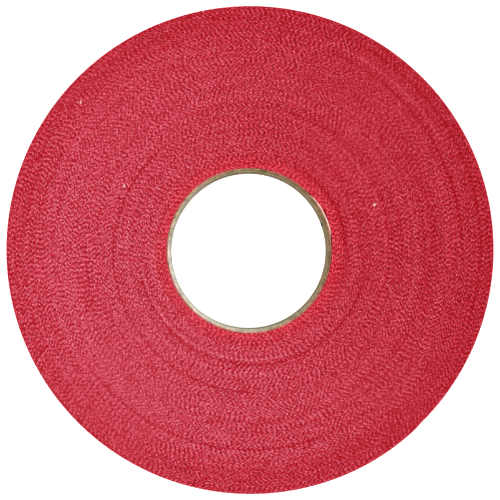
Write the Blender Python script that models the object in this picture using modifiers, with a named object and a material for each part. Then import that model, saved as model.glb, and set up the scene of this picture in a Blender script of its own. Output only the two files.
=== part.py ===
"""A roll of narrow woven cotton tape, wound without flanges on a thin spiral-wound paperboard core.

Units are metres, +Z up. The roll lies on its lower end face at z = 0, with the bore's axis on Z.
Angles run anticlockwise from +X, seen from above. The tape winds outwards in that direction.
"""

import math

import bpy

# Driving dimensions, in metres and degrees.
BORE_RADIUS = 0.01905
LINER_THICKNESS = 0.00028
MIDDLE_PLY_THICKNESS = 0.00028
OUTER_PLY_THICKNESS = 0.00028
PLY_GAP = 0.00004
SEAM_WIDTH = 0.0004
SEAM_SLOPE = 51.0  # between a butt seam and the bore's axis
SEAM_OVERRUN = 0.001  # of a seam's cutter past both ends of the core
SEAM_OVERCUT = 0.0005  # of a seam's cutter past both sides of the ply
LINER_SEAM = 18.0  # where each ply's seam meets the lower end face
MIDDLE_PLY_SEAM = 138.0
OUTER_PLY_SEAM = 258.0

TAPE_WIDTH = 0.025
TAPE_THICKNESS = 0.00033
ROLL_RADIUS = 0.05905  # at the end of the last turn
ROLL_OFFSET_X = 0.00022  # of the roll's outer surface from the bore's axis, because the
ROLL_OFFSET_Y = 0.00016  # starter strip pushes every turn over it outwards
CORE_RECESS = 0.0008  # of each end of the core below the tape's edges
CORE_CLEARANCE = 0.00006

STRIP_THICKNESS = 0.0002
STRIP_START = 3.0
STRIP_END = 47.0
STRIP_CLEARANCE = 0.00006

TAIL_ROOT = -76.0  # where the free end of the tape leaves the roll
TAIL_LENGTH = 0.030
TAIL_CLEARANCE = 0.0001  # under the free end
ROOT_CLEARANCE = 0.0006  # between the free end and the turn that it continues

TAB_THICKNESS = 0.00012
TAB_HEIGHT = 0.019
TAB_ON_TAIL = 0.010
TAB_ON_ROLL = 0.012
TAB_CLEARANCE = 0.00006
TAB_STEP = 0.0012  # length over which the tab comes down from the tail to the roll

STEPS_PER_TURN = 120
MERGE_DISTANCE = 0.000001  # where a turned ply closes on itself

# Sizes that follow from them.
LINER_INNER = BORE_RADIUS
MIDDLE_PLY_INNER = LINER_INNER + LINER_THICKNESS + PLY_GAP
OUTER_PLY_INNER = MIDDLE_PLY_INNER + MIDDLE_PLY_THICKNESS + PLY_GAP
CORE_RADIUS = OUTER_PLY_INNER + OUTER_PLY_THICKNESS
PACK_INNER = CORE_RADIUS + CORE_CLEARANCE
CORE_LOW = CORE_RECESS
CORE_HIGH = TAPE_WIDTH - CORE_RECESS
TAIL_STEP = TAPE_THICKNESS + TAIL_CLEARANCE
TAIL_END = TAIL_ROOT + math.degrees(TAIL_LENGTH / ROLL_RADIUS)


def angle_of(length, radius):
    """The angle in degrees that a length covers along a circle."""
    return math.degrees(length / radius)


def make_material(name, colour, roughness):
    material = bpy.data.materials.new(name)
    material.use_nodes = True
    shader = material.node_tree.nodes["Principled BSDF"]
    shader.inputs["Base Color"].default_value = (*colour, 1.0)
    shader.inputs["Roughness"].default_value = roughness
    shader.inputs["Metallic"].default_value = 0.0
    material.diffuse_color = (*colour, 1.0)
    return material


def angles_between(start, end):
    """Angles from start to end in even steps, about STEPS_PER_TURN of them to a full turn."""
    count = max(2, math.ceil(abs(end - start) / 360.0 * STEPS_PER_TURN))
    return [start + (end - start) * i / count for i in range(count + 1)]


def polar(radius, angle):
    """A point at this radius round the bore's axis."""
    return (radius * math.cos(math.radians(angle)), radius * math.sin(math.radians(angle)))


def roll_polar(radius, angle):
    """A point at this radius round the centre of the roll's outer surface."""
    x, y = polar(radius, angle)
    return (x + ROLL_OFFSET_X, y + ROLL_OFFSET_Y)


def add_outline(curve, points):
    spline = curve.splines.new("POLY")
    spline.points.add(len(points) - 1)
    for point, (x, y) in zip(spline.points, points):
        point.co = (x, y, 0.0, 1.0)
    spline.use_cyclic_u = True


def make_extrusion(name, outlines, low, high, material, collection):
    """A flat shape with vertical walls between two heights. Inner outlines are holes."""
    curve = bpy.data.curves.new(name, "CURVE")
    curve.dimensions = "2D"
    curve.fill_mode = "BOTH"
    curve.extrude = (high - low) / 2
    for points in outlines:
        add_outline(curve, points)
    curve.materials.append(material)
    piece = bpy.data.objects.new(name, curve)
    piece.location = (0.0, 0.0, (high + low) / 2)
    collection.objects.link(piece)
    return piece


def make_band(name, place, inner, outer, angles, low, high, material, collection):
    """A curved strip standing on edge, between two radii that are functions of the angle."""
    outline = [place(outer(angle), angle) for angle in angles]
    outline += [place(inner(angle), angle) for angle in reversed(angles)]
    return make_extrusion(name, [outline], low, high, material, collection)


# The paperboard core: three plies, each a strip of paper wound in a helix with a butt seam.


def make_profile(name, points, edges, collection):
    mesh = bpy.data.meshes.new(name)
    mesh.from_pydata(points, edges, [])
    piece = bpy.data.objects.new(name, mesh)
    collection.objects.link(piece)
    return piece


def add_screw(piece, angle, height, steps):
    screw = piece.modifiers.new("turn", "SCREW")
    screw.axis = "Z"
    screw.angle = math.radians(angle)
    screw.screw_offset = height
    screw.steps = steps
    screw.render_steps = steps
    screw.use_smooth_shade = True
    screw.use_merge_vertices = height == 0.0
    screw.merge_threshold = MERGE_DISTANCE


def make_seam_cutter(name, inner, outer, low_angle, collection):
    """A thin helical sheet through the wall, from below the core to above it."""
    height = CORE_HIGH - CORE_LOW + 2 * SEAM_OVERRUN
    turn = angle_of(height * math.tan(math.radians(SEAM_SLOPE)), inner)
    start = low_angle - turn * SEAM_OVERRUN / height
    points = [(inner - SEAM_OVERCUT, 0.0, 0.0), (outer + SEAM_OVERCUT, 0.0, 0.0)]
    cutter = make_profile(name, points, [(0, 1)], collection)
    add_screw(cutter, turn, height, math.ceil(turn / 360.0 * STEPS_PER_TURN))
    sheet = cutter.modifiers.new("width", "SOLIDIFY")
    sheet.thickness = SEAM_WIDTH
    sheet.offset = 0.0
    cutter.location = (0.0, 0.0, CORE_LOW - SEAM_OVERRUN)
    cutter.rotation_euler = (0.0, 0.0, math.radians(start))
    cutter.hide_render = True
    cutter.display_type = "WIRE"
    return cutter


def make_ply(name, inner, thickness, seam_angle, material, parts, cutters):
    outer = inner + thickness
    points = [
        (outer, 0.0, CORE_HIGH),
        (outer, 0.0, CORE_LOW),
        (inner, 0.0, CORE_LOW),
        (inner, 0.0, CORE_HIGH),
    ]
    ply = make_profile(name, points, [(0, 1), (1, 2), (2, 3), (3, 0)], parts)
    ply.data.materials.append(material)
    add_screw(ply, 360.0, 0.0, STEPS_PER_TURN)
    seam = ply.modifiers.new("butt_seam", "BOOLEAN")
    seam.operation = "DIFFERENCE"
    seam.solver = "EXACT"
    seam.object = make_seam_cutter(name + "_seam", inner, outer, seam_angle, cutters)
    return ply


# The tape.


def pack_outer(angle):
    """The roll's outer surface, a spiral that grows by TAIL_STEP from the tail's root round to it."""
    share = (angle - TAIL_ROOT) % 360.0 / 360.0
    return ROLL_RADIUS - TAIL_STEP * (1.0 - share)


def pack_outer_outline():
    """Starts on the face where the last turn ends at the tail's root, and goes once round."""
    root_gap = angle_of(ROOT_CLEARANCE, ROLL_RADIUS)
    angles = angles_between(TAIL_ROOT, TAIL_ROOT + 360.0 - root_gap)
    outline = [roll_polar(pack_outer(angle), angle) for angle in angles]
    outline.append(roll_polar(pack_outer(TAIL_ROOT), angles[-1]))
    return outline


def strip_inner(_angle):
    return CORE_RADIUS + STRIP_CLEARANCE


def strip_outer(_angle):
    return CORE_RADIUS + STRIP_CLEARANCE + STRIP_THICKNESS


def pack_inner_outline():
    """A circle round the core, with a shallow pocket for the starter strip."""
    side_gap = angle_of(STRIP_CLEARANCE, CORE_RADIUS)
    pocket_start = STRIP_START - side_gap
    pocket_end = STRIP_END + side_gap
    pocket_radius = strip_outer(0.0) + STRIP_CLEARANCE
    outline = [polar(pocket_radius, a) for a in angles_between(pocket_start, pocket_end)]
    rest = angles_between(pocket_end, pocket_start + 360.0)
    outline += [polar(PACK_INNER, a) for a in rest]
    return outline


def tail_inner(angle):
    return pack_outer(angle) + TAIL_CLEARANCE


def tail_outer(angle):
    return tail_inner(angle) + TAPE_THICKNESS


def tab_inner(angle):
    """Over the tail, then down a short slope to the roll's surface."""
    on_tail = tail_outer(angle) + TAB_CLEARANCE
    on_roll = pack_outer(angle) + TAB_CLEARANCE
    slope_start = TAIL_END + angle_of(TAB_CLEARANCE, ROLL_RADIUS)
    share = (angle - slope_start) / angle_of(TAB_STEP, ROLL_RADIUS)
    share = min(max(share, 0.0), 1.0)
    return on_tail + (on_roll - on_tail) * share


def tab_outer(angle):
    return tab_inner(angle) + TAB_THICKNESS


def tab_angles():
    start = TAIL_END - angle_of(TAB_ON_TAIL, ROLL_RADIUS)
    slope_start = TAIL_END + angle_of(TAB_CLEARANCE, ROLL_RADIUS)
    slope_end = slope_start + angle_of(TAB_STEP, ROLL_RADIUS)
    end = TAIL_END + angle_of(TAB_ON_ROLL, ROLL_RADIUS)
    angles = angles_between(start, slope_start)[:-1]
    angles += angles_between(slope_start, slope_end)[:-1]
    return angles + angles_between(slope_end, end)


def clear_scene():
    for item in list(bpy.data.objects):
        bpy.data.objects.remove(item, do_unlink=True)


def make_collection(name):
    collection = bpy.data.collections.new(name)
    bpy.context.scene.collection.children.link(collection)
    return collection


def make_core(parts, cutters):
    kraft = make_material("kraft_paper", (0.42, 0.30, 0.20), 0.9)
    board = make_material("grey_board", (0.48, 0.38, 0.28), 0.9)
    wrap = make_material("kraft_wrap", (0.45, 0.33, 0.23), 0.9)
    make_ply("core_inner_liner", LINER_INNER, LINER_THICKNESS, LINER_SEAM, kraft, parts, cutters)
    make_ply(
        "core_middle_ply", MIDDLE_PLY_INNER, MIDDLE_PLY_THICKNESS, MIDDLE_PLY_SEAM, board,
        parts, cutters,
    )
    make_ply("core_outer_ply", OUTER_PLY_INNER, OUTER_PLY_THICKNESS, OUTER_PLY_SEAM, wrap, parts, cutters)


def make_starter_strip(parts):
    white = make_material("white_paper", (0.80, 0.74, 0.70), 0.85)
    angles = angles_between(STRIP_START, STRIP_END)
    make_band(
        "starter_strip", polar, strip_inner, strip_outer, angles, CORE_LOW, CORE_HIGH, white, parts
    )


def make_tape(parts):
    red = make_material("red_cotton", (0.55, 0.045, 0.07), 0.95)
    outlines = [pack_outer_outline(), pack_inner_outline()]
    make_extrusion("wound_tape", outlines, 0.0, TAPE_WIDTH, red, parts)
    tail_red = make_material("red_cotton_tail", (0.55, 0.045, 0.07), 0.95)
    hinge = bpy.data.objects.new("tail_hinge", None)
    hinge.location = (*roll_polar(tail_inner(TAIL_ROOT), TAIL_ROOT), 0.0)
    parts.objects.link(hinge)
    bpy.context.view_layer.update()
    angles = angles_between(TAIL_ROOT, TAIL_END)
    tail = make_band(
        "tape_tail", roll_polar, tail_inner, tail_outer, angles, 0.0, TAPE_WIDTH, tail_red, parts
    )
    cream = make_material("closing_paper", (0.78, 0.70, 0.58), 0.8)
    low = (TAPE_WIDTH - TAB_HEIGHT) / 2
    high = low + TAB_HEIGHT
    tab = make_band(
        "closing_tab", roll_polar, tab_inner, tab_outer, tab_angles(), low, high, cream, parts
    )
    for piece in (tail, tab):
        piece.parent = hinge
        piece.matrix_parent_inverse = hinge.matrix_world.inverted()


def main():
    clear_scene()
    parts = make_collection("cloth_tape_reel")
    cutters = make_collection("cutters")
    make_core(parts, cutters)
    make_starter_strip(parts)
    make_tape(parts)


main()
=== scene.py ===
"""The looks of a roll of red cotton tape on a thin paperboard core, seen from above on a white table.

Units are metres and degrees. Angles run anticlockwise from +X, and the tape winds outwards that way.
Every strip of the roll is a ring of points swept along the strip: see strip_piece().
"""

import math

import bpy
import numpy as np
from mathutils import Matrix, Vector


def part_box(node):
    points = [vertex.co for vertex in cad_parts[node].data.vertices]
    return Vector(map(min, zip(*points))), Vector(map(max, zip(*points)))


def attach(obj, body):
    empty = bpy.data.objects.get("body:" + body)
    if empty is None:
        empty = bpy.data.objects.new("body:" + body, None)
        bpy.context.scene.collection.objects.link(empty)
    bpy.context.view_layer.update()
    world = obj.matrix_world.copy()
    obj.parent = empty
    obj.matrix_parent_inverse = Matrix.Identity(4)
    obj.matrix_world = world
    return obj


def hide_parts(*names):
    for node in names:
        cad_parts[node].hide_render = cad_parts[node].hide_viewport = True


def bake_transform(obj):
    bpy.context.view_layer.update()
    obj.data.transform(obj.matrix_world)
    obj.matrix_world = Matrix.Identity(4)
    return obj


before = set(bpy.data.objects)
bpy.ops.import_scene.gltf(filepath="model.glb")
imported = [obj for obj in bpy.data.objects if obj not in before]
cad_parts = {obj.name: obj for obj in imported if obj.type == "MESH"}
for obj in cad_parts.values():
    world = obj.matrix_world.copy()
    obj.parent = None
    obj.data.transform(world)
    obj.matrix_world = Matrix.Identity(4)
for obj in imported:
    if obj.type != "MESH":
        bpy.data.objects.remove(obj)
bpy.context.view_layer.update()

MM = 0.001
SEED = 20

# Sizes repeated from the CAD part, or read from its nodes.
BORE_RADIUS = 19.05 * MM
PLY_THICKNESS = 0.28 * MM
PLY_GAP = 0.04 * MM
SEAM_SLOPE = 51.0  # between a butt seam and the bore's axis
PLY_SEAMS = (18.0, 138.0, 258.0)  # where each ply's seam meets the lower end face
PACK_INNER = 20.03 * MM  # where the tape lies on the core
ROLL_RADIUS = 59.05 * MM
ROLL_CENTRE = np.array([0.22 * MM, 0.16 * MM])
TAIL_ROOT = -76.0  # where the free end leaves the roll
TAIL_LENGTH = 30.0 * MM
TAPE_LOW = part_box("wound_tape")[0].z
TAPE_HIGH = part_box("wound_tape")[1].z
CORE_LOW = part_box("core_inner_liner")[0].z
CORE_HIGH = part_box("core_inner_liner")[1].z
TAB_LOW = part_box("closing_tab")[0].z
TAB_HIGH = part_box("closing_tab")[1].z

# The winding.
FIRST_END = 25.0  # where the tape's inner end lies
WHOLE_TURNS = 117
TURNS = WHOLE_TURNS + ((TAIL_ROOT - FIRST_END) % 360.0) / 360.0
SPIRAL_EXCESS = 0.085 * MM  # of the spiral's end over the round roll it makes
TURN_PITCH = (ROLL_RADIUS + SPIRAL_EXCESS - PACK_INNER) / (TURNS + 1.0)
LAYER_GAP = 0.07  # of a turn's pitch
BULGE = 0.26 * MM  # of the first turns over the starter strip
BULGE_FROM, BULGE_TO = 1.0, 50.0
BULGE_TURNS = 6.0  # over which the bulge dies away
OUTER_OFFSET = np.array([0.33 * MM, 0.25 * MM])  # of the outer turns from the bore's axis
OFFSET_TURNS = 14.0  # over which the turns take up that offset
END_TAPER = 15.0 * MM  # over which the free end is pressed thin
END_THINNING = 0.5  # of the tape's thickness, at the cut end
TAIL_SLIT = 0.1 * MM  # between the last turn's end and the free end
TAIL_STANDOFF = 0.04  # of the tape's thickness, between the free end and the turn below it

# The tape's edge, a row of weft loops.
LOOP_PITCH = 1.2 * MM
LOOP_DEPTH = 0.34 * MM
SHOULDER = 0.13 * MM
SHOULDER_RISE = 0.45  # of a loop's rise
RING_RISE = (SHOULDER_RISE, 1.0, SHOULDER_RISE)  # across an edge, from shoulder to shoulder
LOOP_INSET = 0.05 * MM  # of a loop's top inside the CAD tape's end face, before its own shift
LOOP_STEPS = 4  # stations to a loop
DENSE_LOOP_STEPS = 6
FUZZ = 0.045 * MM  # of the yarn's surface, up and down

# The tape's face, a plain weave.
PICK_PITCH = LOOP_PITCH / 2
END_PITCH = 0.55 * MM
WEAVE_STEP = 0.18 * MM
YARN_RISE = 0.035 * MM
CRIMP_RISE = 0.03 * MM
FACE_SHARE = 0.2  # of the edge loops' unevenness that shows across the face

# Turns that stand out, partly by their own tone and partly by painted shade and highlight where a turn
# lies lower or higher: from, to, radius there and there, half width, and shade and tone from -1 dark to
# 1 light.
ARCS = (
    (-5.0, 65.0, 22.9 * MM, 22.9 * MM, 0.21 * MM, -1.0),
    (185.0, 300.0, 26.3 * MM, 26.5 * MM, 0.21 * MM, 0.8),
    (185.0, 350.0, 27.0 * MM, 28.4 * MM, 0.24 * MM, -0.8),
    (120.0, 178.0, 24.4 * MM, 24.6 * MM, 0.27 * MM, -0.4),
    (-18.0, 88.0, 32.6 * MM, 32.9 * MM, 0.27 * MM, 0.7),
    (125.0, 278.0, 32.2 * MM, 34.4 * MM, 0.24 * MM, -0.9),
    (48.0, 98.0, 34.2 * MM, 34.4 * MM, 0.24 * MM, -0.7),
    (-16.0, 28.0, 36.4 * MM, 36.6 * MM, 0.30 * MM, -0.6),
    (175.0, 205.0, 39.4 * MM, 39.5 * MM, 0.27 * MM, -0.6),
    (262.0, 278.0, 42.6 * MM, 42.8 * MM, 0.24 * MM, -0.7),
    (308.0, 362.0, 42.8 * MM, 43.2 * MM, 0.24 * MM, -0.8),
    (-2.0, 17.0, 44.7 * MM, 44.8 * MM, 0.24 * MM, -0.7),
    (208.0, 302.0, 48.0 * MM, 48.4 * MM, 0.24 * MM, -0.7),
    (-4.0, 73.0, 51.0 * MM, 51.5 * MM, 0.27 * MM, -0.8),
    (148.0, 178.0, 51.2 * MM, 51.4 * MM, 0.24 * MM, -0.7),
    (22.0, 78.0, 53.0 * MM, 53.3 * MM, 0.30 * MM, 0.7),
    (152.0, 178.0, 54.4 * MM, 54.5 * MM, 0.24 * MM, -0.7),
    (-28.0, 72.0, 55.3 * MM, 56.2 * MM, 0.36 * MM, -0.7),
)
ARC_FADE = 14.0  # degrees over which an arc comes and goes
ARC_LIFT = 0.07 * MM  # of a turn whose shade and tone is 1
ARC_SHADE_AND_TONE = 1.7

# How the tape's colour differs over the roll's face, with a painted sheen that makes one side paler.
KEPT_DYE = 2.6 * MM  # from the core, within which the dye has kept its depth
SHEEN_SIDE = 207.0  # the direction in which painted sheen makes the roll's face paler
RIM_FROM, RIM_BAND = 44.0 * MM, 13.0 * MM  # where the painted sheen ends towards the rim
CORE_TO, CORE_BAND = 21.0 * MM, 3.0 * MM  # and towards the core
# The first, narrow one is a painted highlight on the innermost turn's inner edge, beside the core.
CORE_HIGHLIGHT_AND_TONE = ((0.65, 0.7, 1), (0.2, 2.4, 4))  # each one's tone, reach in mm and power
RIM_TONES = (0.25, 13.0, 0.3, 0.8)  # a wide band's tone and reach in mm, and a narrow one's

# The paper core.
SEAM_WIDTH = 0.3 * MM
PLY_STATIONS = 420
PLY_STEPS = 24
PLY_CORNER = 0.05 * MM
CUT_REACH = 0.15 * MM  # of the cut edge's colour and fray
# the side of the bore where the core is painted lit; it is painted shaded on the far side, where the
# tape above its end casts shadow
CORE_LIT_SIDE = 214.0
MARK_ANGLE = 19.6  # of a dark mark that runs up the liner from its foot
MARK_REACH = 0.8 * MM  # round the bore
MARK_SQUAT = 0.035  # that reach over its height

# The core's colours, each on its painted shaded side of the bore and on its painted lit side.
WALL_SHADED_AND_LIT = ((0.260, 0.200, 0.120), (0.330, 0.350, 0.300))
CUT_SHADED_AND_LIT = {
    "core_liner": ((0.24, 0.175, 0.105), (0.49, 0.47, 0.40)),
    "core_board": ((0.20, 0.128, 0.060), (0.68, 0.52, 0.46)),
    # The wrap's shaded colour is lighter and redder than its lit one, painted light against the shadow
    # beside the tape.
    "core_wrap": ((0.44, 0.21, 0.14), (0.36, 0.20, 0.155)),
}
SPECK_COLOUR = (0.10, 0.07, 0.045)
MARK_COLOUR = (0.030, 0.022, 0.015)
GREEN_TINGE = (0.74, 0.88, 0.66)

# The starter strip, which stands up past the core's end.
STRIP_FROM, STRIP_TO = 9.0, 42.0
STRIP_INNER = 20.04 * MM
STRIP_THICKNESS = 0.22 * MM
STRIP_BELOW_EDGE = 0.12 * MM  # of its top under the tape's edge

# The closing tab.
TAB_ON_TAIL = 10.0 * MM
TAB_ON_ROLL = 12.0 * MM
TAB_THICKNESS = 0.1 * MM
TAB_STEP = 1.4 * MM  # over which it comes down off the tape's end
TAB_CLEARANCE = 0.04 * MM

# Lint on the upper edges: x, y and length.
LINT = (
    (-30.1 * MM, 15.6 * MM, 0.65 * MM),
    (-40.7 * MM, 35.9 * MM, 0.55 * MM),
    (30.3 * MM, 11.0 * MM, 0.7 * MM),
)
LINT_FIBRES = 9  # in a tuft
LINT_POINTS = 8  # along a fibre
LINT_SPREAD = 0.07 * MM

# What the cotton's brightness is made of, as shares.
# The rise's share paints shade into the dips between loops and yarns and highlight onto their crests.
RISE_SHADE_SHARE = 0.75
FIBRE_SHARE = 0.8
STRAND_SHARE = 3.2
BRIGHT_SHARE = 0.09
SHADE_AND_TONE_SHARE = 0.32


# Meshes.


def strip_faces(stations, ring):
    """The corners of a swept ring's faces, four to a face, with the two end caps last."""
    i, k = np.meshgrid(np.arange(stations - 1), np.arange(ring), indexing="ij")
    after = (k + 1) % ring
    corners = np.stack(
        [i * ring + k, i * ring + after, (i + 1) * ring + after, (i + 1) * ring + k], axis=2
    )
    last = (stations - 1) * ring
    caps = [np.arange(ring)[::-1], last + np.arange(ring)]
    return np.concatenate([corners.ravel(), *caps])


def strip_piece(name, points, values, material, flat_map=None):
    """A closed strip through points[station, place round the ring], with point attributes by name.

    The ring runs outwards along the top, down, and back along the bottom.
    """
    stations, ring, _ = points.shape
    corners = strip_faces(stations, ring)
    quads = (stations - 1) * ring
    mesh = bpy.data.meshes.new(name)
    mesh.vertices.add(stations * ring)
    mesh.vertices.foreach_set("co", points.astype(np.float32).ravel())
    mesh.loops.add(len(corners))
    mesh.loops.foreach_set("vertex_index", corners.astype(np.int32))
    mesh.polygons.add(quads + 2)
    starts = np.append(np.arange(quads + 1) * 4, quads * 4 + ring)
    mesh.polygons.foreach_set("loop_start", starts.astype(np.int32))
    mesh.update(calc_edges=True)
    mesh.polygons.foreach_set("use_smooth", np.ones(quads + 2, bool))
    for key, value in values.items():
        layer = mesh.attributes.new(key, "FLOAT", "POINT")
        everywhere = np.broadcast_to(value, points.shape[:2])
        layer.data.foreach_set("value", everywhere.astype(np.float32).ravel())
    if flat_map is not None:
        layer = mesh.uv_layers.new(name="OFBake")
        layer.uv.foreach_set("vector", flat_map(points, corners).astype(np.float32).ravel())
    mesh.materials.append(material)
    piece = bpy.data.objects.new(name, mesh)
    bpy.context.scene.collection.objects.link(piece)
    return piece


def polar_points(radius, degrees):
    """x and y at these radii and angles, stacked last."""
    angle = np.radians(degrees)
    return np.stack([radius * np.cos(angle), radius * np.sin(angle)], axis=-1)


def smooth_step(value):
    t = np.clip(value, 0.0, 1.0)
    return t * t * (3.0 - 2.0 * t)


def window(value, start, end, fade):
    """1 between start and end, falling smoothly to 0 over fade at each end."""
    rise = smooth_step((value - start) / fade)
    return rise * smooth_step((end - value) / fade)


def smooth_noise(rng, places, scale):
    """Seeded noise along a line, from about -1 to 1, with a knot every scale."""
    places = np.asarray(places, float)
    low = places.min()
    count = int((places.max() - low) / scale) + 4
    knots = rng.uniform(-1.0, 1.0, count)
    at = (places - low) / scale
    base = at.astype(int)
    t = smooth_step(at - base)
    return knots[base] * (1.0 - t) + knots[base + 1] * t


def patch_noise(rng, turn, turns_across, knots_round):
    """Seeded noise over the roll's face, from about -1 to 1, long round the roll and short across it."""
    across = np.asarray(turn, float) / turns_across
    knots = rng.uniform(-1.0, 1.0, (int(across.max()) + 2, knots_round))
    around = (turn % 1.0) * knots_round
    row = across.astype(int)
    column = around.astype(int) % knots_round
    after = (column + 1) % knots_round
    up = smooth_step(across - row)
    on = smooth_step(around - around.astype(int))
    inner = knots[row, column] * (1.0 - on) + knots[row, after] * on
    outer = knots[row + 1, column] * (1.0 - on) + knots[row + 1, after] * on
    return inner * (1.0 - up) + outer * up


# The winding.


def turn_angle(turn):
    return FIRST_END + 360.0 * turn


def layers_out(turn):
    """How many layers lie inside the tape here. Near the core each turn steps up sharply at its end."""
    whole = np.floor(turn)
    sharpness = 1.0 + 39.0 * np.exp(-whole / 2.0)
    return whole + (turn - whole) ** sharpness


def winding(turn):
    """x and y of the tape's inner surface after this many turns, stacked last."""
    angle = turn_angle(turn)
    within = (angle - BULGE_FROM) % 360.0 + BULGE_FROM
    width = BULGE_TO - BULGE_FROM
    bulge = BULGE * window(within, BULGE_FROM, BULGE_TO, 0.25 * width)
    radius = PACK_INNER + TURN_PITCH * layers_out(turn)
    radius = radius + bulge * np.exp(-turn / BULGE_TURNS)
    offset = OUTER_OFFSET * (1.0 - np.exp(-turn / OFFSET_TURNS))[..., None]
    return polar_points(radius, angle) + offset


def winding_radius(turn):
    return PACK_INNER + TURN_PITCH * turn


def length_to(turn):
    """The tape's length from its inner end to this turn."""
    return 2.0 * math.pi * (PACK_INNER * turn + TURN_PITCH * turn * turn / 2.0)


def turn_at(length):
    """The turn that the tape has reached at this length."""
    inner = PACK_INNER / TURN_PITCH
    return np.sqrt(inner * inner + length / (math.pi * TURN_PITCH)) - inner


def loop_places(rng):
    """The tape's length at each loop of its edge, at a pitch that drifts and jitters a little."""
    count = int(1.02 * length_to(TURNS + 0.1) / LOOP_PITCH)
    index = np.arange(count)
    drift = 0.012 * smooth_noise(rng, index, 400.0) + 0.02 * smooth_noise(rng, index, 37.0)
    drift = drift + 0.05 * smooth_noise(rng, index, 4.0)
    jitter = 0.09 * np.clip(rng.standard_normal(count), -2.5, 2.5)
    return np.cumsum(LOOP_PITCH * (1.0 + drift)) + LOOP_PITCH * jitter


def arc_tone(turn):
    """How light or dark the turns that stand out make this place, partly as their own tone and partly as
    painted shade and highlight.
    """
    radius = winding_radius(turn)
    angle = turn_angle(turn) % 360.0
    tone = np.zeros_like(radius)
    for start, end, radius_start, radius_end, half_width, strength in ARCS:
        along = (angle - start + ARC_FADE) % 360.0 - ARC_FADE
        share = along / (end - start)
        centre = radius_start + (radius_end - radius_start) * np.clip(share, 0.0, 1.0)
        here = window(along, 0.0, end - start, ARC_FADE)
        across = np.exp(-(((radius - centre) / half_width) ** 2))
        tone = tone + ARC_SHADE_AND_TONE * strength * here * across
    return tone


def near_core(turn):
    """1 on the innermost turns, where the dye has kept its depth, falling to 0 further out."""
    return np.exp(-(((winding_radius(turn) - PACK_INNER) / KEPT_DYE) ** 2))


def radial_tone(turn):
    """The innermost turns are lighter, the first of them with a painted highlight, and the outermost
    darker.
    """
    from_core = (winding_radius(turn) - PACK_INNER) / MM
    from_rim = (ROLL_RADIUS - winding_radius(turn)) / MM
    core = sum(tone * np.exp(-((from_core / reach) ** power)) for tone, reach, power in CORE_HIGHLIGHT_AND_TONE)
    wide, wide_reach, narrow, narrow_reach = RIM_TONES
    rim = wide * (1.0 - smooth_step(from_rim / wide_reach))
    return core - rim - narrow * np.exp(-from_rim / narrow_reach)


def painted_sheen_side(turn):
    """From 0 to 1, how much painted sheen pales the roll's face: most on one side, least at the rim."""
    radius = winding_radius(turn)
    facing = 0.5 + 0.5 * np.cos(np.radians(turn_angle(turn) - SHEEN_SIDE))
    rim = smooth_step((radius - RIM_FROM) / RIM_BAND)
    core = 1.0 - smooth_step((radius - CORE_TO) / CORE_BAND)
    return facing - 0.4 * rim - 0.25 * core


def make_loops(rng):
    """What differs from loop to loop of the tape's edge, by loop."""
    places = loop_places(rng)
    turn = turn_at(places)
    count = len(places)
    strand = smooth_noise(rng, turn, 0.4) + 0.5 * smooth_noise(rng, turn, 0.12)
    streak = patch_noise(rng, turn, 2.5, 4) + 0.7 * patch_noise(rng, turn, 1.5, 6)
    # The arcs and the innermost turn add painted shade and highlight; the streaks and strands are the
    # cotton's own unevenness.
    tone = arc_tone(turn) + radial_tone(turn) + 0.22 * streak + 0.2 * strand
    tint = patch_noise(rng, turn, 4.0, 4) + 0.6 * patch_noise(rng, turn, 2.0, 5)
    return {
        "place": places,
        "tone": tone,
        # painted sheen on one side of the face, with random paler patches of the cotton's own
        "pale": np.clip(painted_sheen_side(turn) + 0.14 * tint, 0.0, 1.0),
        "kept": near_core(turn),
        "shift": 0.02 * MM * strand + ARC_LIFT * tone + 0.03 * MM * rng.standard_normal(count),
        "depth": LOOP_DEPTH * np.clip(1.0 + 0.25 * rng.standard_normal(count), 0.2, 1.8),
        "lean": np.clip(0.22 * rng.standard_normal(count), -0.6, 0.6),
        "bright": rng.standard_normal(count),
    }


def at_stations(loops, key, phase):
    """A loop's value where the phase is a whole number, and a blend of its neighbours' between."""
    return np.interp(phase, np.arange(len(loops["place"])), loops[key])


def phase_of(loops, length):
    """How many loops, and what share of the next one, lie before this length of tape."""
    return np.interp(length, loops["place"], np.arange(len(loops["place"])))


def crest(phase):
    """1 on a loop and 0 in the dip between two."""
    return (0.5 + 0.5 * np.cos(2.0 * math.pi * phase)) ** 0.75


def edge_stations(rng, loops, phase):
    """What the wound tape needs at each station: its two surfaces, and its edge's height and tones."""
    rough = rng.standard_normal(len(phase))
    turn = turn_at(at_stations(loops, "place", phase))
    inner = winding(turn)
    step = winding(turn + 1.0) - inner
    nearest = np.round(phase)
    lean = at_stations(loops, "lean", nearest) + 0.15 * rng.standard_normal(len(phase))
    return {
        "inner": inner,
        "outer": inner + step * (1.0 - LAYER_GAP),
        "rise": crest(phase),
        "depth": at_stations(loops, "depth", phase),
        "shift": at_stations(loops, "shift", phase) + FUZZ * rough,
        "lean": lean,
        "tone": at_stations(loops, "tone", phase),
        "pale": at_stations(loops, "pale", phase),
        "kept": at_stations(loops, "kept", phase),
        "bright": at_stations(loops, "bright", nearest) + 0.7 * rough,
    }


def cotton_values(edge, rise, share=1.0):
    """The point attributes that the cotton's material reads. The share is of its unevenness."""
    return {
        "rise": rise,
        "tone": edge["tone"][:, None] * share,
        "pale": edge["pale"][:, None],
        "kept": edge["kept"][:, None],
        "bright": edge["bright"][:, None] * share,
    }


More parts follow.
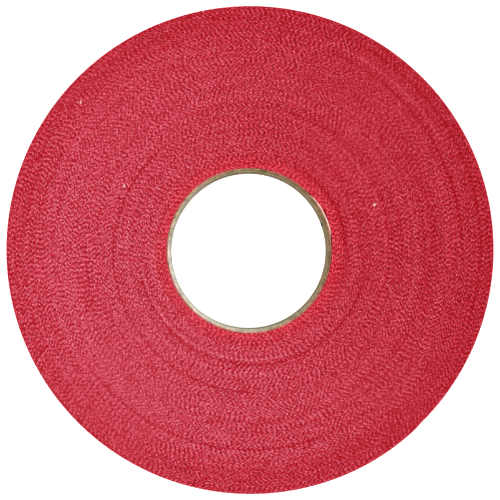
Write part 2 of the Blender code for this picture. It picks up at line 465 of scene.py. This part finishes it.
def edge_profile(edge):
    """The upper edge's three points and the lower edge's three, round the ring, for each station."""
    mid = (edge["inner"] + edge["outer"]) / 2.0
    half = (edge["outer"] - edge["inner"]) / 2.0
    dip = edge["depth"] * (1.0 - edge["rise"])
    top = TAPE_HIGH + edge["shift"] - LOOP_INSET - dip
    low = TAPE_LOW + LOOP_INSET + np.abs(edge["shift"]) + dip
    narrow = (0.72 + 0.28 * edge["rise"])[:, None]
    lean = (edge["lean"] * (0.3 + 0.7 * edge["rise"]))[:, None]

    def point(place, height):
        return np.concatenate([place, height[:, None]], axis=1)

    shoulder = SHOULDER * (1.0 + 0.4 * edge["rise"])
    return [
        point(mid - half * narrow, top - shoulder),
        point(mid + half * lean, top),
        point(mid + half * narrow, top - shoulder),
        point(mid + half * narrow, low + shoulder),
        point(mid + half * lean, low),
        point(mid - half * narrow, low + shoulder),
    ]


# Maps that the finished piece is drawn on: both faces of the roll as discs, and the rest in a corner.
TOP_DISC = (0.345, 0.345, 5.7)
LOW_DISC = (0.755, 0.755, 3.9)
SPARE_CELL = (0.93, 0.03, 0.008)


def roll_map(points, corners):
    """Places on the map for each corner of the wound tape's faces."""
    stations, ring, _ = points.shape
    flat = points.reshape(-1, 3)[corners]
    uv = np.empty((len(corners), 2))
    face = np.arange(len(corners)) // 4
    side = face % ring
    top = (side == 0) | (side == 1)
    low = (side == 3) | (side == 4)
    for chosen, (u, v, scale) in ((top, TOP_DISC), (low, LOW_DISC)):
        uv[chosen] = flat[chosen, :2] * scale + (u, v)
    spare = ~(top | low)
    spare[(stations - 1) * ring * 4 :] = True
    u, v, size = SPARE_CELL
    corner = np.arange(len(corners))[spare] % 4
    uv[spare, 0] = u + size * ((corner == 1) | (corner == 2))
    uv[spare, 1] = v + size * (corner >= 2)
    return uv


def make_wound_tape(rng, loops, material):
    """All turns but the last one, as one strip."""
    last = phase_of(loops, length_to(TURNS - 1.0))
    count = int(last * LOOP_STEPS)
    phase = np.linspace(0.0, last, count + 1)
    phase[:-1] = np.arange(count) / LOOP_STEPS
    edge = edge_stations(rng, loops, phase)
    ring = np.stack(edge_profile(edge), axis=1)
    values = cotton_values(edge, edge["rise"][:, None] * (RING_RISE * 2))
    return strip_piece("wound_cotton_tape", ring, values, material, roll_map)


# The woven face.


def weave(along, height):
    """A plain weave's relief in metres, and how much of it is on top, from 0 to 1."""
    pick = along / PICK_PITCH
    end = height / END_PITCH
    nearest_pick = np.round(pick)
    nearest_end = np.round(end)
    warp = CRIMP_RISE * np.cos(math.pi * (pick + nearest_end))
    warp = warp + YARN_RISE * np.cos(math.pi * (end - nearest_end))
    weft = -CRIMP_RISE * np.cos(math.pi * (nearest_pick + end))
    weft = weft + YARN_RISE * np.cos(math.pi * (pick - nearest_pick))
    relief = np.maximum(warp, weft)
    return relief, np.clip(relief / (CRIMP_RISE + YARN_RISE), 0.0, 1.0)


def woven_columns():
    """Heights down the woven face, between the loops of the two edges."""
    low = TAPE_LOW + LOOP_DEPTH + 2.0 * SHOULDER
    high = TAPE_HIGH - LOOP_DEPTH - 2.0 * SHOULDER
    return np.linspace(high, low, int((high - low) / WEAVE_STEP))


def woven_strip(name, edge, along, material, both_sides):
    """A strip with its edge's loops and a woven outer face, and a woven inner face if it shows."""
    upper = edge_profile(edge)
    columns = woven_columns()
    relief, over = weave(along[:, None], columns[None, :])
    out = edge["outer"] - edge["inner"]
    out = out / np.linalg.norm(out, axis=1)[:, None]

    def wall(surface, sign, heights, rise):
        place = surface[:, None, :] + sign * out[:, None, :] * (rise - CRIMP_RISE)[..., None]
        height = np.broadcast_to(heights, rise.shape)
        return np.concatenate([place, height[..., None]], axis=2)

    outer = wall(edge["outer"], 1.0, columns, relief)
    parts = [np.stack(upper[:3], axis=1), outer, np.stack(upper[3:], axis=1)]
    loops_rise = edge["rise"][:, None] * RING_RISE
    rises = [loops_rise, over, loops_rise]
    if both_sides:
        back, back_over = weave(along[:, None] + PICK_PITCH, columns[None, ::-1])
        parts.append(wall(edge["inner"], -1.0, columns[::-1], back))
        rises.append(back_over)
    # The rise on loops and yarns becomes painted shade in their dips and painted highlight on their
    # tops.
    rise = np.concatenate(rises, axis=1)
    share = np.full((1, rise.shape[1]), FACE_SHARE)
    for first in (0, 3 + len(columns)):
        share[0, first : first + 3] = 1.0
    values = cotton_values(edge, rise, share)
    return strip_piece(name, np.concatenate(parts, axis=1), values, material)


def make_last_turn(rng, loops, material):
    """The turn that shows on the roll's side."""
    first = phase_of(loops, length_to(TURNS - 1.0))
    last = phase_of(loops, length_to(TURNS))
    phase = np.linspace(first, last, int((last - first) * DENSE_LOOP_STEPS))
    edge = edge_stations(rng, loops, phase)
    along = at_stations(loops, "place", phase)
    return woven_strip("last_turn_of_tape", edge, along, material, both_sides=False)


def end_thinning(to_end):
    """How much of its thickness the free end has lost, this far from the cut."""
    return END_THINNING * (1.0 - smooth_step(to_end / END_TAPER))


def make_free_end(rng, loops, material):
    """The last stretch, which peels away from the roll."""
    start = length_to(TURNS)
    first = phase_of(loops, start + TAIL_SLIT)
    last = phase_of(loops, start + TAIL_LENGTH)
    phase = np.linspace(first, last, int((last - first) * DENSE_LOOP_STEPS))
    edge = edge_stations(rng, loops, phase)
    along = at_stations(loops, "place", phase)
    thickness = edge["outer"] - edge["inner"]
    thinning = end_thinning(start + TAIL_LENGTH - along)
    edge["outer"] = edge["outer"] - thickness * thinning[:, None]
    edge["inner"] = edge["inner"] + thickness * TAIL_STANDOFF
    return woven_strip("tape_free_end", edge, along, material, both_sides=True)


# Paper pieces.


def paper_ring(low, high, thickness, steps, corner):
    """The depth and height of each place round a paper's cut section, clockwise from the top."""
    heights = np.linspace(high - corner, low + corner, steps)
    round_top = ((0.0, high - corner), (0.12, high), (0.5, high + corner / 3), (0.88, high))
    round_low = ((0.88, low), (0.5, low - corner / 3), (0.12, low))
    ring = list(round_top)
    ring += [(1.0, height) for height in heights]
    ring += list(round_low)
    ring += [(0.0, height) for height in heights[::-1][:-1]]
    shares = np.array([share for share, _ in ring])
    return shares * thickness, np.array([height for _, height in ring])


def edge_shares(heights, low, high, reach):
    """1 at the cut edges, falling to 0 this far inside them."""
    inside = np.minimum(heights - low, high - heights)
    return np.clip(1.0 - inside / reach, 0.0, 1.0)


def make_ply(name, rng, inner, seam, material):
    """One ply of the core, a strip of paper wound in a helix, with its butt seam."""
    depth, height = paper_ring(CORE_LOW, CORE_HIGH, PLY_THICKNESS, PLY_STEPS, PLY_CORNER)
    lead = math.degrees(math.tan(math.radians(SEAM_SLOPE)) / inner)
    gap = math.degrees(SEAM_WIDTH / inner)
    turn = np.linspace(gap / 2, 360.0 - gap / 2, PLY_STATIONS)
    angle = seam + turn[:, None] + lead * (height - CORE_LOW)[None, :]
    cut = edge_shares(height, CORE_LOW, CORE_HIGH, CUT_REACH)[None, :]
    ragged = smooth_noise(rng, turn, 1.1)[:, None] + 0.7 * smooth_noise(rng, turn, 5.0)[:, None]
    top = np.sign(height - (CORE_LOW + CORE_HIGH) / 2)[None, :]
    rise = height[None, :] + 0.035 * MM * ragged * cut * top
    wave = 0.02 * MM * smooth_noise(rng, turn, 9.0)[:, None]
    fray = 0.02 * MM * smooth_noise(rng, turn, 0.9)[:, None] * cut
    radius = inner + depth[None, :] + wave * (1.0 - cut) * 0.3 + fray
    points = np.concatenate(
        [polar_points(radius, angle), np.broadcast_to(rise, angle.shape)[..., None]], axis=2
    )
    # Painted light and shade round the bore: 1 on the lit side, 0 on the shaded side.
    shade = (0.5 + 0.5 * np.cos(np.radians(angle - CORE_LIT_SIDE))) ** 2
    return strip_piece(name, points, {"cut": cut, "shade": shade}, material)


def make_core(rng, materials):
    """The three plies, from the inside."""
    names = ("core_liner_paper", "core_board_paper", "core_wrap_paper")
    nodes = ("core_inner_liner", "core_middle_ply", "core_outer_ply")
    for i, name in enumerate(names):
        inner = BORE_RADIUS + i * (PLY_THICKNESS + PLY_GAP)
        ply = make_ply(name, rng, inner, PLY_SEAMS[i], materials[i])
        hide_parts(nodes[i])
        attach(ply, "roll")


def make_starter_strip(rng, material):
    """The slip of paper that starts the tape on the core. It stands up above the core's end."""
    low = CORE_LOW
    high = TAPE_HIGH - STRIP_BELOW_EDGE
    depth, height = paper_ring(low, high, STRIP_THICKNESS, 30, 0.04 * MM)
    angle = np.linspace(STRIP_FROM, STRIP_TO, 160)[:, None]
    proud = window(angle, STRIP_FROM, STRIP_TO, 10.0)
    skived = 0.3 + 0.7 * window(angle, STRIP_FROM - 1.0, STRIP_TO + 1.0, 6.0)
    upper = np.clip((height - low) / (high - low), 0.0, 1.0)[None, :]
    drop = (1.0 - proud) * (high - CORE_HIGH) * upper
    ragged = 0.03 * MM * smooth_noise(rng, angle[:, 0], 1.7)[:, None] * upper**8
    radius = STRIP_INNER + depth[None, :] * skived + 0.05 * MM * proud * upper**6
    full = np.broadcast_to(angle, (len(angle), len(height)))
    rise = height[None, :] - drop + ragged
    points = np.concatenate([polar_points(radius, full), rise[..., None]], axis=2)
    cut = edge_shares(height, low, high, 0.2 * MM)
    strip = strip_piece("starter_paper_strip", points, {"cut": cut[None, :]}, material)
    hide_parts("starter_strip")
    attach(strip, "roll")


def tab_surface(angle, tail_end):
    """What the closing tab lies on at these angles: the free end, then down onto the roll."""
    turn = TURNS + (angle - TAIL_ROOT) / 360.0
    on_roll = winding(turn)
    thinned = 1.0 - end_thinning(np.radians(tail_end - angle) * ROLL_RADIUS)
    on_tail = on_roll + (winding(turn + 1.0) - on_roll) * thinned[..., None]
    share = smooth_step((angle - tail_end - 0.1) / math.degrees(TAB_STEP / ROLL_RADIUS))
    return on_tail + (on_roll - on_tail) * share[..., None]


def make_closing_tab(rng, material):
    """The creased paper tab that holds the free end down."""
    tail_end = TAIL_ROOT + math.degrees(TAIL_LENGTH / ROLL_RADIUS)
    start = tail_end - math.degrees(TAB_ON_TAIL / ROLL_RADIUS)
    end = tail_end + math.degrees(TAB_ON_ROLL / ROLL_RADIUS)
    depth, height = paper_ring(TAB_LOW, TAB_HIGH, TAB_THICKNESS, 60, 0.03 * MM)
    angle = np.linspace(start, end, 140)[:, None]
    surface = tab_surface(angle, tail_end)
    out = surface / np.linalg.norm(surface, axis=2)[..., None]
    creases = smooth_noise(rng, angle[:, 0], 0.45) + 0.6 * smooth_noise(rng, angle[:, 0], 1.3)
    puckers = smooth_noise(rng, height, 1.4 * MM)
    ripple = 0.03 * MM * (1.2 + creases[:, None] * (0.6 + 0.4 * puckers[None, :]))
    place = surface + out * (TAB_CLEARANCE + ripple + depth[None, :])[..., None]
    edge = edge_shares(height, TAB_LOW, TAB_HIGH, 0.5 * MM)
    side = np.sign(height - (TAB_LOW + TAB_HIGH) / 2)
    worn = 0.12 * MM * smooth_noise(rng, angle[:, 0], 0.8)[:, None] * (edge * side)[None, :]
    rise = height[None, :] + worn
    points = np.concatenate([place, rise[..., None]], axis=2)
    tab = strip_piece("closing_paper_tab", points, {"cut": edge[None, :]}, material)
    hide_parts("closing_tab")
    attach(tab, "tail")


# Lint.


def curl_fibre(rng, points, start, step):
    """Lays a fibre's points one step apart, turning at random, without sinking into the tape."""
    heading = rng.uniform(0.0, 2.0 * math.pi)
    place = np.array(start) + rng.normal(0.0, LINT_SPREAD, 3) * (1, 1, 0.3)
    for point in points:
        point.co = (*place, 1.0)
        point.radius = rng.uniform(0.5, 1.1)
        heading += rng.normal(0.0, 0.7)
        along = np.array([math.cos(heading), math.sin(heading), rng.normal(0.05, 0.25)])
        place = place + step * along
        place[2] = max(place[2], TAPE_HIGH - 0.02 * MM)


def make_lint(rng, material):
    """Three tufts of pale fluff caught on the tape's edges, each a few curled fibres."""
    curve = bpy.data.curves.new("lint", "CURVE")
    curve.dimensions = "3D"
    curve.bevel_depth = 0.035 * MM
    curve.bevel_resolution = 1
    for x, y, length in LINT:
        for _ in range(LINT_FIBRES):
            spline = curve.splines.new("POLY")
            spline.points.add(LINT_POINTS - 1)
            start = (x, y, TAPE_HIGH + 0.05 * MM)
            curl_fibre(rng, spline.points, start, length / (LINT_POINTS + 1))
    curve.materials.append(material)
    lint = bpy.data.objects.new("lint", curve)
    bpy.context.scene.collection.objects.link(lint)
    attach(lint, "roll")


# Materials.


class Nodes:
    """Adds shader nodes to a material, and links them by socket."""

    def __init__(self, name):
        self.material = bpy.data.materials.new(name)
        self.material.use_nodes = True
        self.tree = self.material.node_tree
        self.shader = self.tree.nodes["Principled BSDF"]

    def add(self, kind, inputs=(), **settings):
        node = self.tree.nodes.new(kind)
        for key, value in settings.items():
            setattr(node, key, value)
        for key, value in dict(inputs).items():
            self.put(node.inputs[key], value)
        return node

    def put(self, socket, value):
        if isinstance(value, bpy.types.NodeSocket):
            self.tree.links.new(value, socket)
        else:
            socket.default_value = value

    def attribute(self, name):
        return self.add("ShaderNodeAttribute", attribute_name=name).outputs["Fac"]

    def place(self):
        return self.add("ShaderNodeTexCoord").outputs["Object"]

    def squat_place(self, share):
        """The place, with its height scaled by this share."""
        inputs = {"Vector": self.place(), "Scale": (1.0, 1.0, share)}
        return self.add("ShaderNodeMapping", inputs).outputs["Vector"]

    def maths(self, operation, a, b=0.0):
        return self.add("ShaderNodeMath", {0: a, 1: b}, operation=operation).outputs[0]

    def noise(self, scale, detail=2.0, place=None, roughness=0.5):
        place = place or self.place()
        inputs = {"Scale": scale, "Detail": detail, "Roughness": roughness, "Vector": place}
        return self.add("ShaderNodeTexNoise", inputs).outputs["Fac"]

    def ramp(self, factor, *stops):
        """A colour for a factor, from (position, colour) pairs."""
        node = self.add("ShaderNodeValToRGB", {"Fac": factor})
        elements = node.color_ramp.elements
        while len(elements) < len(stops):
            elements.new(0.5)
        for element, (position, colour) in zip(elements, stops):
            element.position = position
            element.color = (*colour, 1.0)
        return node.outputs["Color"]

    def mix(self, factor, a, b, blend="MIX"):
        node = self.add("ShaderNodeMix", data_type="RGBA", blend_type=blend)
        self.put(node.inputs["Factor"], factor)
        self.put(node.inputs["A"], (*a, 1.0) if isinstance(a, tuple) else a)
        self.put(node.inputs["B"], (*b, 1.0) if isinstance(b, tuple) else b)
        return node.outputs["Result"]

    def mottled(self, factor, colour):
        """Shades round one colour."""
        dark = tuple(0.66 * part for part in colour)
        pale = tuple(min(1.0, 1.32 * part) for part in colour)
        return self.ramp(factor, (0.36, dark), (0.5, colour), (0.66, pale))

    def weigh(self, value, noise, share):
        """The value with this share of a noise's swing either side of its middle."""
        swing = self.maths("MULTIPLY", self.maths("SUBTRACT", noise, 0.5), share)
        return self.maths("ADD", value, swing)

    def span(self, value, low, high, to_low=0.0, to_high=1.0):
        """The value, mapped from one range onto another and kept inside it."""
        inputs = {"Value": value, "From Min": low, "From Max": high, "To Min": to_low, "To Max": to_high}
        return self.add("ShaderNodeMapRange", inputs).outputs["Result"]

    def bump(self, height, distance, strength=1.0):
        inputs = {"Height": height, "Distance": distance, "Strength": strength}
        return self.add("ShaderNodeBump", inputs).outputs["Normal"]

    def finish(self, colour, roughness, normal=None):
        self.put(self.shader.inputs["Base Color"], colour)
        self.put(self.shader.inputs["Roughness"], roughness)
        if normal is not None:
            self.put(self.shader.inputs["Normal"], normal)
        return self.material


def red_cotton():
    """Dyed cotton, uneven from loop to loop, with painted shade between the yarns, painted highlight on
    their crests and a painted sheen on one side of the roll's face.
    """
    n = Nodes("red_cotton")
    fibres = n.noise(5200.0, 3.0, roughness=0.6)
    strands = n.noise(2500.0, 1.0)
    # Painted shade and highlight: the rise makes the colour darker in the dips and paler on the crests.
    height = n.maths("MULTIPLY", n.attribute("rise"), RISE_SHADE_SHARE)
    height = n.weigh(height, fibres, FIBRE_SHARE)
    height = n.weigh(height, strands, STRAND_SHARE)
    for key, share in (("bright", BRIGHT_SHARE), ("tone", SHADE_AND_TONE_SHARE)):
        height = n.maths("ADD", height, n.maths("MULTIPLY", n.attribute(key), share))
    plain_red = n.ramp(
        height,
        (0.0, (0.365, 0.0010, 0.0080)),
        (0.35, (0.485, 0.0170, 0.0400)),
        (0.70, (0.565, 0.0490, 0.0850)),
        (1.0, (0.630, 0.1030, 0.1560)),
    )
    sheen_and_pale_red = n.ramp(
        height,
        (0.0, (0.415, 0.0050, 0.0180)),
        (0.35, (0.540, 0.0480, 0.0850)),
        (0.70, (0.615, 0.1130, 0.1730)),
        (1.0, (0.675, 0.1830, 0.2530)),
    )
    deep = n.ramp(
        height,
        (0.0, (0.430, 0.0010, 0.0080)),
        (0.5, (0.600, 0.0200, 0.0420)),
        (1.0, (0.710, 0.0800, 0.1150)),
    )
    # Painted sheen, with the cotton's own paler patches: the face turns paler towards one side.
    colour = n.mix(n.attribute("pale"), plain_red, sheen_and_pale_red)
    colour = n.mix(n.maths("MULTIPLY", n.attribute("kept"), 0.7), colour, deep)
    roughness = n.span(fibres, 0.3, 0.7, 0.75, 0.95)
    normal = n.bump(fibres, 0.06 * MM, 0.6)
    n.shader.inputs["Specular IOR Level"].default_value = 0.15
    n.shader.inputs["Sheen Weight"].default_value = 0.05
    n.shader.inputs["Sheen Roughness"].default_value = 0.5
    n.shader.inputs["Sheen Tint"].default_value = (1.0, 0.75, 0.80, 1.0)
    return n.finish(colour, roughness, normal)


def liner_mark(n):
    """1 on the dark mark that runs up the liner from its foot, and 0 away from it."""
    x, y = polar_points(BORE_RADIUS, MARK_ANGLE)
    inputs = {0: n.squat_place(MARK_SQUAT), 1: (x, y, CORE_LOW * MARK_SQUAT)}
    away = n.add("ShaderNodeVectorMath", inputs, operation="DISTANCE").outputs["Value"]
    return n.span(away, 0.6 * MARK_REACH, MARK_REACH, 1.0, 0.0)


def core_paper(name, cut_edge):
    """Recycled paper, mottled and flecked. Its wall and its cut edge each have a painted shaded colour
    and a painted lit colour.
    """
    n = Nodes(name)
    shade = n.attribute("shade")
    mottle = n.noise(700.0, 4.0, roughness=0.65)
    # Painted shade and light: the shaded colour on one side of the bore, the lit one on the other.
    wall_colour = n.mix(shade, *[n.mottled(mottle, colour) for colour in WALL_SHADED_AND_LIT])
    cut_colour = n.mix(shade, *[n.mottled(mottle, colour) for colour in cut_edge])
    colour = n.mix(n.attribute("cut"), wall_colour, cut_colour)
    speck = n.span(n.noise(2600.0, 2.0), 0.66, 0.74)
    colour = n.mix(n.maths("MULTIPLY", speck, 0.6), colour, SPECK_COLOUR)
    green = n.span(n.noise(380.0, 1.0), 0.45, 0.6, 0.0, 0.7)
    colour = n.mix(green, colour, GREEN_TINGE, "MULTIPLY")
    colour = n.mix(liner_mark(n), colour, MARK_COLOUR)
    normal = n.bump(n.noise(3800.0, 3.0, place=n.squat_place(0.25)), 0.05 * MM, 0.7)
    n.shader.inputs["Specular IOR Level"].default_value = 0.02
    return n.finish(colour, n.span(mottle, 0.3, 0.7, 0.8, 0.95), normal)


def starter_paper():
    """Thin pinkish white paper."""
    n = Nodes("starter_paper")
    mottle = n.noise(1500.0, 3.0)
    colour = n.ramp(mottle, (0.3, (0.76, 0.44, 0.38)), (0.6, (0.95, 0.66, 0.58)))
    normal = n.bump(n.noise(6000.0, 2.0), 0.03 * MM, 0.6)
    return n.finish(colour, n.span(mottle, 0.3, 0.7, 0.7, 0.9), normal)


def tab_paper():
    """Creped cream paper with fibres and dulled edges."""
    n = Nodes("tab_paper")
    cut = n.attribute("cut")
    mottle = n.noise(260.0, 4.0, roughness=0.6)
    fibres = n.noise(2400.0, 3.0, roughness=0.65)
    factor = n.maths("ADD", n.maths("MULTIPLY", mottle, 0.6), n.maths("MULTIPLY", fibres, 0.4))
    colour = n.ramp(
        factor,
        (0.35, (0.56, 0.45, 0.30)),
        (0.5, (0.70, 0.59, 0.43)),
        (0.65, (0.80, 0.70, 0.54)),
    )
    colour = n.mix(n.maths("MULTIPLY", cut, 0.35), colour, (0.45, 0.30, 0.20))
    normal = n.bump(fibres, 0.05 * MM, 0.6)
    return n.finish(colour, n.span(mottle, 0.3, 0.7, 0.65, 0.85), normal)


def lint_fluff():
    """Pale pink fluff."""
    n = Nodes("lint_fluff")
    colour = n.ramp(n.noise(3000.0), (0.3, (0.85, 0.62, 0.64)), (0.7, (1.0, 0.88, 0.88)))
    return n.finish(colour, n.span(n.noise(5000.0), 0.3, 0.7, 0.8, 1.0))


# The stage.


def make_floor():
    """A wide white table that glows a little, as one lit from below does."""
    mesh = bpy.data.meshes.new("table")
    half = 6.0
    level = TAPE_LOW - 0.05 * MM
    square = ((-half, -half), (half, -half), (half, half), (-half, half))
    corners = [(x, y, level) for x, y in square]
    mesh.from_pydata(corners, [], [(0, 1, 2, 3)])
    floor = bpy.data.objects.new("table", mesh)
    bpy.context.scene.collection.objects.link(floor)
    n = Nodes("white_table")
    n.shader.inputs["Base Color"].default_value = (0.80, 0.80, 0.80, 1.0)
    n.shader.inputs["Roughness"].default_value = 0.9
    n.shader.inputs["Emission Color"].default_value = (1.0, 1.0, 1.0, 1.0)
    n.shader.inputs["Emission Strength"].default_value = 0.78
    mesh.materials.append(n.material)


def make_world():
    """A studio that is bright round the horizon and dimmer overhead."""
    world = bpy.data.worlds.new("studio")
    world.use_nodes = True
    tree = world.node_tree
    direction = tree.nodes.new("ShaderNodeTexCoord").outputs["Generated"]
    split = tree.nodes.new("ShaderNodeSeparateXYZ")
    tree.links.new(direction, split.inputs[0])
    ramp = tree.nodes.new("ShaderNodeValToRGB")
    tree.links.new(split.outputs["Z"], ramp.inputs["Fac"])
    ramp.color_ramp.elements[0].position = 0.10
    ramp.color_ramp.elements[0].color = (0.95, 0.95, 0.95, 1.0)
    ramp.color_ramp.elements[1].position = 0.75
    ramp.color_ramp.elements[1].color = (0.38, 0.38, 0.38, 1.0)
    tree.links.new(ramp.outputs["Color"], tree.nodes["Background"].inputs["Color"])
    bpy.context.scene.world = world


def add_area_light(name, azimuth, elevation, distance, size, power, colour):
    """A softbox that faces the middle of the roll's upper face."""
    light = bpy.data.lights.new(name, "AREA")
    light.shape = "DISK"
    light.size = size
    light.energy = power
    light.color = colour
    lamp = bpy.data.objects.new(name, light)
    target = Vector((0.0, 0.0, TAPE_HIGH))
    a, e = math.radians(azimuth), math.radians(elevation)
    back = Vector((math.cos(a) * math.cos(e), math.sin(a) * math.cos(e), math.sin(e)))
    lamp.location = target + back * distance
    lamp.rotation_mode = "QUATERNION"
    lamp.rotation_quaternion = back.to_track_quat("Z", "Y")
    bpy.context.scene.collection.objects.link(lamp)


def make_lights():
    add_area_light("key", 22.0, 38.0, 1.8, 0.55, 28.0, (1.0, 0.985, 0.96))
    add_area_light("fill", 190.0, 65.0, 0.40, 0.25, 1.3, (1.0, 0.97, 0.98))


def make_camera():
    """Straight above, a little left of and below the bore's axis."""
    data = bpy.data.cameras.new("camera")
    data.sensor_width = 36.0
    data.lens = 298.0
    data.clip_start = 0.05
    data.clip_end = 20.0
    camera = bpy.data.objects.new("camera", data)
    bpy.context.scene.collection.objects.link(camera)
    camera.location = (-6.8 * MM, -2.3 * MM, TAPE_HIGH + 1.0)
    target = Vector((*ROLL_CENTRE, TAPE_HIGH))
    back = (camera.location - target).normalized()
    right = Vector((0.0, 1.0, 0.0)).cross(back).normalized()
    turn = Matrix((right, back.cross(right), back)).transposed()
    camera.rotation_euler = turn.to_euler()
    bpy.context.scene.camera = camera
    bpy.context.scene.view_settings.view_transform = "Standard"


def make_tape(rng, material):
    """The wound tape, its last turn and its free end, which are one length of tape."""
    loops = make_loops(rng)
    wound = make_wound_tape(rng, loops, material)
    last_turn = make_last_turn(rng, loops, material)
    free_end = make_free_end(rng, loops, material)
    for piece in (wound, last_turn):
        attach(piece, "roll")
    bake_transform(free_end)
    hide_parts("wound_tape")
    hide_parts("wound_tape")
    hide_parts("tape_tail")


def main():
    make_camera()
    make_floor()
    make_world()
    make_lights()
    rng = np.random.default_rng(SEED)
    make_tape(rng, red_cotton())
    make_core(rng, [core_paper(name, cut) for name, cut in CUT_SHADED_AND_LIT.items()])
    make_starter_strip(rng, starter_paper())
    make_closing_tab(rng, tab_paper())
    make_lint(rng, lint_fluff())


main()
